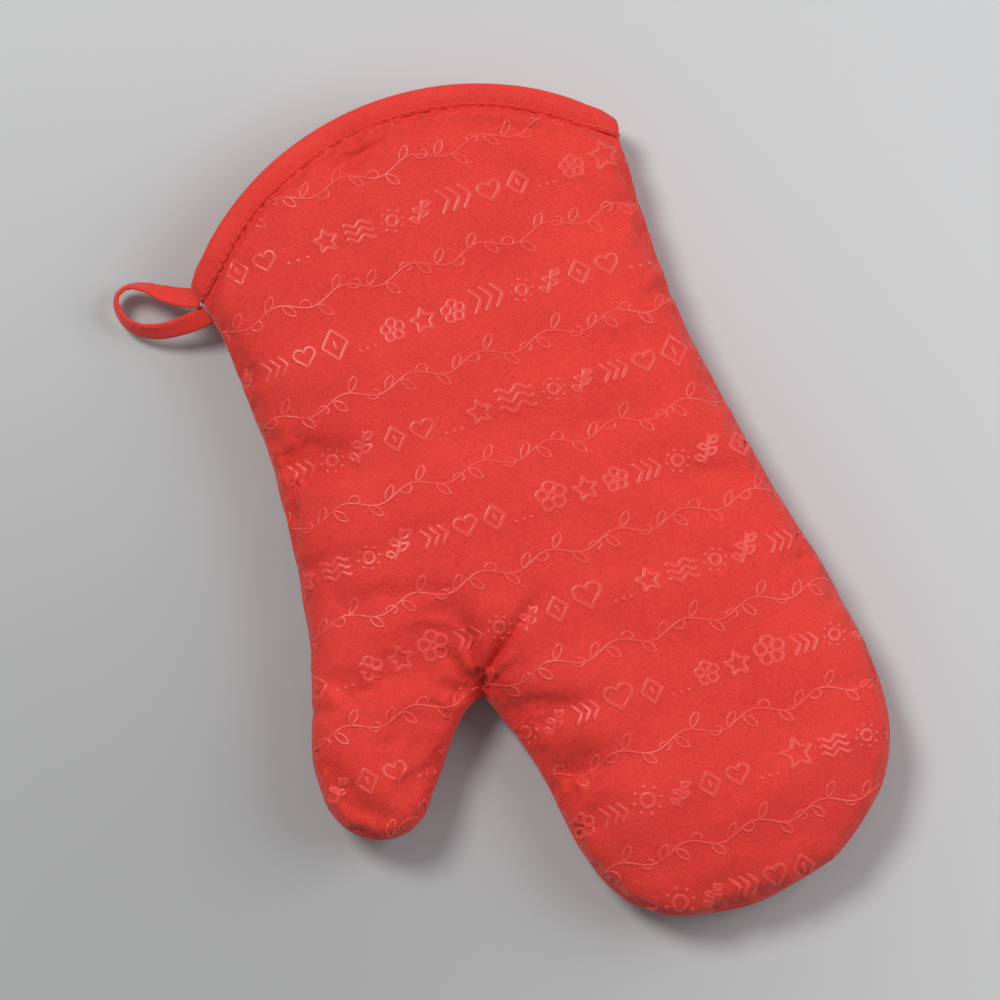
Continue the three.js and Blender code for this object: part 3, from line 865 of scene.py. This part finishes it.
def cuff_ring():
    """The cuff's open edge all the way round, with the way out of the mouth and off the cloth's face."""
    line = np.vstack([palm.vertices[palm.cuff_ids], back.vertices[back.cuff_ids][::-1][1:-1]])
    out = np.vstack([palm.normals[palm.cuff_ids], back.normals[back.cuff_ids][::-1][1:-1]])
    both = np.hstack([line, out])
    both = even(np.vstack([both, both[:1]]), 1.0)[:-1]
    both = closed_smooth(both, 3)
    line, out = both[:, :3], unit(both[:, 3:])
    spoke = line - np.array([CUFF_MIDDLE.x, CUFF_MIDDLE.y, 0])
    spoke[:, 2] = 0
    spoke = unit(spoke)
    way = spoke.copy()
    for end, next_to in ((0, 6), (-1, -7)):
        corner = plan.seam[end]
        seam_way = np.array([*unit(corner - plan.seam[next_to]), 0])
        gap = np.linalg.norm(line[:, :2] - corner, axis=1)
        near = 1 - step(0, 9, gap)
        way = way + (seam_way - spoke) * near[:, None]
        shoulder = 1.1 * np.exp(-((gap - 5.8) / 3.2) ** 2)
        line = line + seam_way * (0.5 * near)[:, None] + spoke * shoulder[:, None]
    forward = unit(way - out * np.sum(way * out, axis=1)[:, None])
    return line, forward, out


def add_binding():
    line, forward, out = cuff_ring()
    vertices, faces = sweep(line, (forward, out), BINDING_PROFILE, closed=True)
    count = len(BINDING_PROFILE)
    profile = np.array(BINDING_PROFILE)
    along = np.repeat(np.arange(len(line)) * 1.0, count)
    reach = np.tile(profile[:, 0], len(line))
    outside = np.tile(np.arange(count) < 12, len(line))
    pinch = np.cos(along / STITCH_PITCH * math.tau) * np.exp(-((reach + STITCH_INSET) / 1.8) ** 2)
    slant = np.column_stack([along + reach * 0.9, reach * 0.25, np.zeros(len(along))])
    ripple = rolling(slant, 5.5, 21) * np.exp(-((reach + 6.0) / 3.5) ** 2)
    slow = rolling(np.column_stack([along, reach, np.zeros(len(along))]), 17.0, 23)
    sew = np.exp(-((reach + STITCH_INSET) / 0.9) ** 2)
    lift = np.where(outside, 0.1 * pinch + 0.1 * ripple - 0.35 * sew, 0) + 0.25 * slow
    vertices = vertices + np.repeat(out, count, axis=0) * lift[:, None]
    binding = new_object("cuff_binding_tape", vertices, faces, red_tape)
    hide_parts("cuff_binding")
    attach(binding, "hand")

    line, out, forward = (np.vstack([v, v[:1]]) for v in (line, out, forward))
    rows = [stitch_row(line - forward * STITCH_INSET + out * height, out * side,
                       STITCH_LENGTH, STITCH_PITCH, THREAD, 0.35) for height, side in STITCH_ROWS]
    stitches = new_object("binding_stitches", *gathered(rows), thread_finish)
    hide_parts("binding_topstitch")
    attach(stitches, "hand")


# ---- Side seams ----

def add_side_seams():
    """The sewing thread in the groove where the two panels meet."""
    seam = palm.vertices[palm.seam_ids]
    seam = np.column_stack([seam[:, :2], (seam[:, 2] + back.vertices[back.seam_ids][:, 2]) / 2])
    outward = np.column_stack([-plan.inward, np.zeros(len(seam))])
    middle = plan.crotch_index
    stretches = {
        "finger_side_seam": ("hand", slice(4, middle + 1),
                             ["seam_thread_little_finger_side", "seam_thread_fingers"]),
        "thumb_side_seam": ("thumb", slice(middle, len(seam) - 4),
                            ["seam_thread_wrist", "seam_thread_crotch", "seam_thread_thumb"]),
    }
    for name, (zone, reach, nodes) in stretches.items():
        both = even(np.hstack([seam[reach], outward[reach]]), 1.0)
        row = stitch_row(both[:, :3] + both[:, 3:] * 0.05, unit(both[:, 3:]), 2.2, 2.9, 0.4, 0.3)
        piece = new_object(name, *row, thread_finish)
        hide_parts(*nodes)
        bend(piece, zone)


# ---- Hanging loop ----

LOOP_LINE = [
    # place, and how far the tape is turned from lying flat to standing on its edge, in degrees
    (57.0, -133.4, 17.4, 0), (59.8, -135.0, 17.0, 5), (63.2, -137.6, 16.2, 14), (68.0, -142.4, 14.2, 34),
    (72.4, -147.9, 11.6, 60), (77.8, -151.5, 9.4, 76), (83.0, -150.9, 8.2, 82), (85.4, -146.8, 7.8, 80),
    (85.3, -140.8, 8.0, 72), (82.6, -135.8, 8.8, 62), (76.3, -131.0, 10.4, 50), (67.8, -128.2, 12.8, 34),
    (61.0, -127.0, 14.6, 16), (57.4, -127.0, 15.4, 8),
]
LOOP_WIDTH = 7.6
LOOP_THICKNESS = 1.5


def swing(piece):
    """The piece's placement is baked into its mesh."""
    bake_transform(piece)


def loop_profile():
    """A folded tape in section: two rounded edges, and a shallow dip where its folded edges meet."""
    half, thick = LOOP_WIDTH / 2, LOOP_THICKNESS / 2
    right = [(1.6, thick * 0.94), (half - 0.6, thick), (half - 0.15, thick * 0.6), (half, 0)]
    top = [(-x, y) for x, y in right[::-1]] + [(0, thick * 0.8)] + right
    return top + [(x, -y) for x, y in top[-2:0:-1]]


def add_loop():
    path = smooth_line(LOOP_LINE, 0.8)
    line = path[:, :3]
    turn = np.radians(path[:, 3])
    way = unit(np.gradient(line, axis=0))
    level = unit(np.cross(np.array([0, 0, 1.0]), way))
    up = np.cross(way, level)
    across = level * np.cos(turn)[:, None] + up * np.sin(turn)[:, None]
    face = np.cross(way, across)
    profile = loop_profile()
    vertices, faces = sweep(line, (across, face), profile)
    count = len(profile)
    along = np.repeat(np.arange(len(line)) * 0.8, count)
    places = np.column_stack([along, np.tile([p[0] for p in profile], len(line)), np.zeros(len(along))])
    vertices = vertices + np.repeat(face, count, axis=0) * (rolling(places, 6.0, 31) * 0.16)[:, None]
    loop = new_object("hanging_loop_tape", vertices, faces, red_tape)
    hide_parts("hanging_loop", "loop_tail")
    swing(loop)

    edge = line + across * (LOOP_WIDTH / 2 - 1.1)
    rows = [stitch_row(edge + face * (0.62 * side), face * side, 2.1, 2.9, 0.4, 0.25) for side in (1, -1)]
    stitches = new_object("loop_edge_stitches", *gathered(rows), thread_finish)
    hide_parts("loop_bar_tack")
    swing(stitches)


# ---- Raised print ----

ROW_PITCH = 19.4
ROW_WAY = np.array([-0.9763, 0.2165])
ROW_UP = np.array([-0.2165, -0.9763])
BOLD_ROW_AT = 121.0
BOLD_STROKE = 1.7
FINE_STROKE = 1.05
PRINT_HEIGHT = 0.26
LEAF_LEAN = math.radians(52)


def ring(x, y, radius, count):
    turn = np.radians(np.linspace(0, 360, count))
    return np.column_stack([x + radius * np.cos(turn), y + radius * np.sin(turn)])


def sun(size):
    rays = [np.array([(0.5 + r * math.cos(a), 0.5 + r * math.sin(a)) for r in (0.36, 0.52)]) * size
            for a in np.radians(np.arange(8) * 45)]
    return [ring(size / 2, size / 2, size * 0.22, 16)] + rays, size * 1.04


def chevrons(size):
    lines = [np.array([(x, 0.05), (x + 0.34, 0.5), (x, 0.95)]) * size for x in (0, 0.36, 0.72)]
    return lines, size * 1.06


def diamond(size):
    outer = np.array([(0.42, 0), (0.84, 0.5), (0.42, 1), (0, 0.5), (0.42, 0)]) * size
    return [outer, np.array([(0.42, 0.3), (0.42, 0.7)]) * size], size * 0.84


def flower(size):
    petals = [ring(size * (0.5 + 0.29 * math.cos(a)), size * (0.5 + 0.29 * math.sin(a)), size * 0.19, 14)
              for a in np.radians(np.arange(5) * 72 + 18)]
    return petals, size


def sprig(size):
    stem = np.array([(0.1, 0.0), (0.42, 0.5), (0.6, 1.0)]) * size
    leaf = np.array([(0, 0), (0.35, 0.2), (1, 0.16), (0.55, -0.02), (0, 0)])
    leaves = [((x, y) + leaf * (wide, 1)) * size for x, y, wide in (
        (0.2, 0.18, -0.3), (0.3, 0.3, 0.42), (0.42, 0.5, -0.32), (0.5, 0.66, 0.38))]
    return [stem] + leaves, size * 0.92


def hearts(size):
    t = np.linspace(0, math.tau, 30)
    x = 0.5 + 0.028 * 16 * np.sin(t) ** 3
    y = 0.55 + 0.028 * (13 * np.cos(t) - 5 * np.cos(2 * t) - 2 * np.cos(3 * t) - np.cos(4 * t))
    return [np.column_stack([x, y]) * size], size


def ripples(size):
    x = np.linspace(0, 1.25, 26)
    return [np.column_stack([x, y + 0.11 * np.sin(x * 10)]) * size for y in (0.2, 0.5, 0.8)], size * 1.25


def star(size):
    turn = np.arange(11) * math.pi / 5 + math.pi / 2
    radius = np.where(np.arange(11) % 2 == 0, 0.52, 0.24)
    return [np.column_stack([0.5 + radius * np.cos(turn), 0.5 + radius * np.sin(turn)]) * size], size


def dots(size):
    return [np.array([(x, 0.1), (x + 0.16, 0.1)]) * size for x in (0.03, 0.35, 0.67)], size * 0.85


BOLD_MOTIFS = [flower, chevrons, sun, sprig, diamond, hearts, dots, star, ripples, sun, sprig, chevrons,
               hearts, diamond, dots, flower, star]


def bold_row(number, start, end):
    strokes, at, k = [], start, number * 5
    while at < end:
        size = 11.6 if k % 5 == 0 else 9.2
        lines, wide = BOLD_MOTIFS[k % len(BOLD_MOTIFS)](size)
        strokes += [line + (at, -4.6) for line in lines]
        at += wide + 2.4
        k += 1
    return strokes


def fine_row(number, start, end):
    """A running vine: a wavy stem with leaves and curls standing off it in turn."""
    x = np.arange(start, end, 0.8)
    phase = number * 7.0

    def rise(at):
        return 2.1 * np.sin((at + phase) / 26.0 * math.tau)

    strokes = [np.column_stack([x, rise(x)])]
    for k, at in enumerate(np.arange(start + 6.5 - phase % 6.5, end, 6.5)):
        up = 1 if k % 2 else -1
        if k % 3 == 2:
            turn = np.linspace(0, 5.6, 24)
            curl = 3.0 * np.exp(-turn * 0.22)
            lines = [np.column_stack([2.6 - curl * np.cos(turn), curl * np.sin(turn)])]
        else:
            t = np.linspace(0, 1, 12)
            bulge = 1.35 * np.sin(t * math.pi) ** 0.8
            edge = np.column_stack([np.append(t, t[::-1]) * 6.4 + 0.3, np.append(bulge, -bulge[::-1])])
            cos, sin = math.cos(LEAF_LEAN), math.sin(LEAF_LEAN)
            lines = [edge @ np.array([(cos, sin), (-sin, cos)])]
        strokes += [line * (1, up) + (at, rise(at)) for line in lines]
    return strokes


def in_print(panel, xy):
    """Where the print shows: clear of the side seams and of the binding."""
    outline = np.vstack([plan.seam, panel.plan_xy[panel.cuff_ids][1:-1]])
    return inside(xy, outline) & (nearest(xy, plan.seam)[0] > 0.8) & (from_cuff(xy) > BINDING_WIDTH + 0.6)


def on_panel(panel, xy):
    """Places on a panel's face over or under points in plan, and the way off the cloth there."""
    side = panel.side
    places, ways = [], []
    for x, y in xy:
        hit, normal, _, _ = panel.tree.ray_cast(Vector((x, y, 17 + side * 60)), Vector((0, 0, -side)))
        if hit is None:
            places.append((np.nan,) * 3)
            ways.append((0, 0, side))
        else:
            places.append(tuple(hit))
            ways.append(tuple(normal if normal.z * side > 0 else -normal))
    return np.array(places), np.array(ways, float)


STROKE_SECTION = np.array([(-1.0, -0.5), (-0.9, 0.45), (-0.66, 0.92), (0, 1.0), (0.66, 0.92), (0.9, 0.45),
                           (1.0, -0.5)])


def ribbon(line, out, wide):
    """A low rounded stroke on the cloth: a closed one joins up, and an open one narrows at its ends."""
    closed = np.linalg.norm(line[0] - line[-1]) < 0.3 and len(line) > 6
    if closed:
        line, out = line[:-1], out[:-1]
        way = unit(np.roll(line, -1, axis=0) - np.roll(line, 1, axis=0))
    else:
        way = unit(np.gradient(line, axis=0))
    count = len(line)
    side = unit(np.cross(way, out))
    narrow = np.ones(count)
    if not closed:
        narrow[[0, -1]] = 0.35
        narrow[[1, -2]] = 0.85
    over, up = STROKE_SECTION.T[:, None, :, None] * narrow[:, None, None]
    vertices = line[:, None] + side[:, None] * (over * wide / 2) + out[:, None] * (up * PRINT_HEIGHT)
    m = len(STROKE_SECTION)
    pairs = [(i, (i + 1) % count) for i in range(count if closed else count - 1)]
    faces = [(i * m + k, i * m + (k + 1) % m, j * m + (k + 1) % m, j * m + k)
             for i, j in pairs for k in range(m)]
    if not closed:
        faces += [tuple(range(m))[::-1], tuple(range((count - 1) * m, count * m))]
    return vertices.reshape(-1, 3), faces


def add_print():
    low, high = palm.vertices.min(0)[:2] - 20, palm.vertices.max(0)[:2] + 20
    corners = np.array([(x, y) for x in (low[0], high[0]) for y in (low[1], high[1])])
    start, end = (corners @ ROW_WAY).min(), (corners @ ROW_WAY).max()
    rows = []
    for number in range(-16, 6):
        level = BOLD_ROW_AT + number * ROW_PITCH
        made = bold_row(number + 40, start, end) if number % 2 == 0 else fine_row(number + 40, start, end)
        for line in made:
            line = even(line, min(0.75, np.linalg.norm(np.diff(line, axis=0), axis=1).sum() / 6))
            rows.append((line[:, :1] * ROW_WAY + (level + line[:, 1:]) * ROW_UP,
                         BOLD_STROKE if number % 2 == 0 else FINE_STROKE))
    for side, panel in PANELS.items():
        parts = {"hand": [], "thumb": []}
        for xy, wide in rows:
            keep = in_print(panel, xy)
            if not keep.any():
                continue
            zone = np.where(over_thumb(xy), 1, 0)
            breaks = np.flatnonzero((np.diff(keep.astype(int)) != 0) | (np.diff(zone) != 0)) + 1
            for run in np.split(np.arange(len(xy)), breaks):
                if len(run) < 4 or not keep[run[0]]:
                    continue
                line, out = on_panel(panel, xy[run])
                found = ~np.isnan(line[:, 0])
                for _ in range(3):
                    out[1:-1] = unit(out[:-2] + out[1:-1] + out[2:])
                gaps = np.flatnonzero(np.diff(found.astype(int)) != 0) + 1
                for stretch in np.split(np.arange(len(run)), gaps):
                    if found[stretch[0]] and len(stretch) > 3:
                        stroke = ribbon(line[stretch], out[stretch], wide)
                        parts["thumb" if zone[run[0]] else "hand"].append(stroke)
        for name, several in parts.items():
            piece = new_object(f"{name}_grip_print_{side}", *gathered(several), print_finish)
            bend(piece, name)


add_layers()
add_binding()
add_side_seams()
add_loop()
add_print()


# ---- Stage, light and camera ----

FLOOR_REACH = 6000.0
VIEW_UP = Vector((-0.5, -0.866, 0))
VIEW_RIGHT = Vector((-0.866, 0.5, 0))
VIEW_TILT = math.radians(5.5)
VIEW_WIDTH = 370.0
VIEW_DISTANCE = 1.9


def stage_with_painted_shade():
    floor_finish = Finish("pale_floor_painted_shade")
    # Painted shade: the floor's colour is darkest round a spot near the lower left of the view and grows
    # paler up to 0.4 m from it, a light falloff painted into the floor.
    away = floor_finish.node("ShaderNodeVectorMath", {"operation": "DISTANCE"},
                             {0: floor_finish.place(), 1: (0.176, 0.073, 0)}, output=1)
    painted_shade_falloff = floor_finish.node("ShaderNodeMapRange", {"interpolation_type": "SMOOTHSTEP"},
                               {"Value": away, "From Min": 0.0, "From Max": 0.40})
    floor_material = floor_finish.surface({
        # The darker colour is painted shade; the paler one is the floor's own colour.
        "Base Color": floor_finish.mix(painted_shade_falloff, (0.415, 0.42, 0.42), (0.60, 0.605, 0.61)),
        "Roughness": 0.9,
        "Specular IOR Level": 0.1,
    })
    corners = np.array([(-1, -1, 0), (1, -1, 0), (1, 1, 0), (-1, 1, 0)]) * FLOOR_REACH
    floor = new_object("floor", corners, [(0, 1, 2, 3)], floor_material)


def aim(obj, place, target):
    back_way = (place - target).normalized()
    right = VIEW_UP.cross(back_way).normalized()
    true_up = back_way.cross(right)
    obj.matrix_world = Matrix((
        (right.x, true_up.x, back_way.x, place.x),
        (right.y, true_up.y, back_way.y, place.y),
        (right.z, true_up.z, back_way.z, place.z),
        (0, 0, 0, 1)))


def soft_light(name, place, size, power, color):
    lamp = bpy.data.lights.new(name, "AREA")
    lamp.shape = "DISK"
    lamp.size = size
    lamp.energy = power
    lamp.color = color
    obj = bpy.data.objects.new(name, lamp)
    bpy.context.scene.collection.objects.link(obj)
    aim(obj, place, Vector((0, 0, 0)))


def set_camera():
    data = bpy.data.cameras.new("camera")
    camera = bpy.data.objects.new("camera", data)
    bpy.context.scene.collection.objects.link(camera)
    target = Vector((-1.9, -12.2, 18.0)) * MM
    data.sensor_width = 36.0
    data.lens = data.sensor_width * VIEW_DISTANCE / (VIEW_WIDTH * MM)
    way = Vector((0, 0, 1)) * math.cos(VIEW_TILT) - VIEW_UP * math.sin(VIEW_TILT)
    aim(camera, target + way * VIEW_DISTANCE, target)
    bpy.context.scene.camera = camera


stage_with_painted_shade()
soft_light("key_light", (-VIEW_RIGHT * 1.25 + VIEW_UP * 1.15) + Vector((0, 0, 2.5)), 1.0, 50, (1, 0.99, 0.97))
soft_light("fill_light", VIEW_RIGHT * 0.85 + VIEW_UP * 0.25 + Vector((0, 0, 0.8)), 0.9, 6.2, (0.97, 0.98, 1))
world = bpy.data.worlds.new("studio")
world.use_nodes = True
backdrop = world.node_tree.nodes["Background"].inputs
backdrop["Color"].default_value = (0.80, 0.81, 0.83, 1)
backdrop["Strength"].default_value = 0.33
bpy.context.scene.world = world
bpy.context.scene.view_settings.view_transform = "Standard"
set_camera()
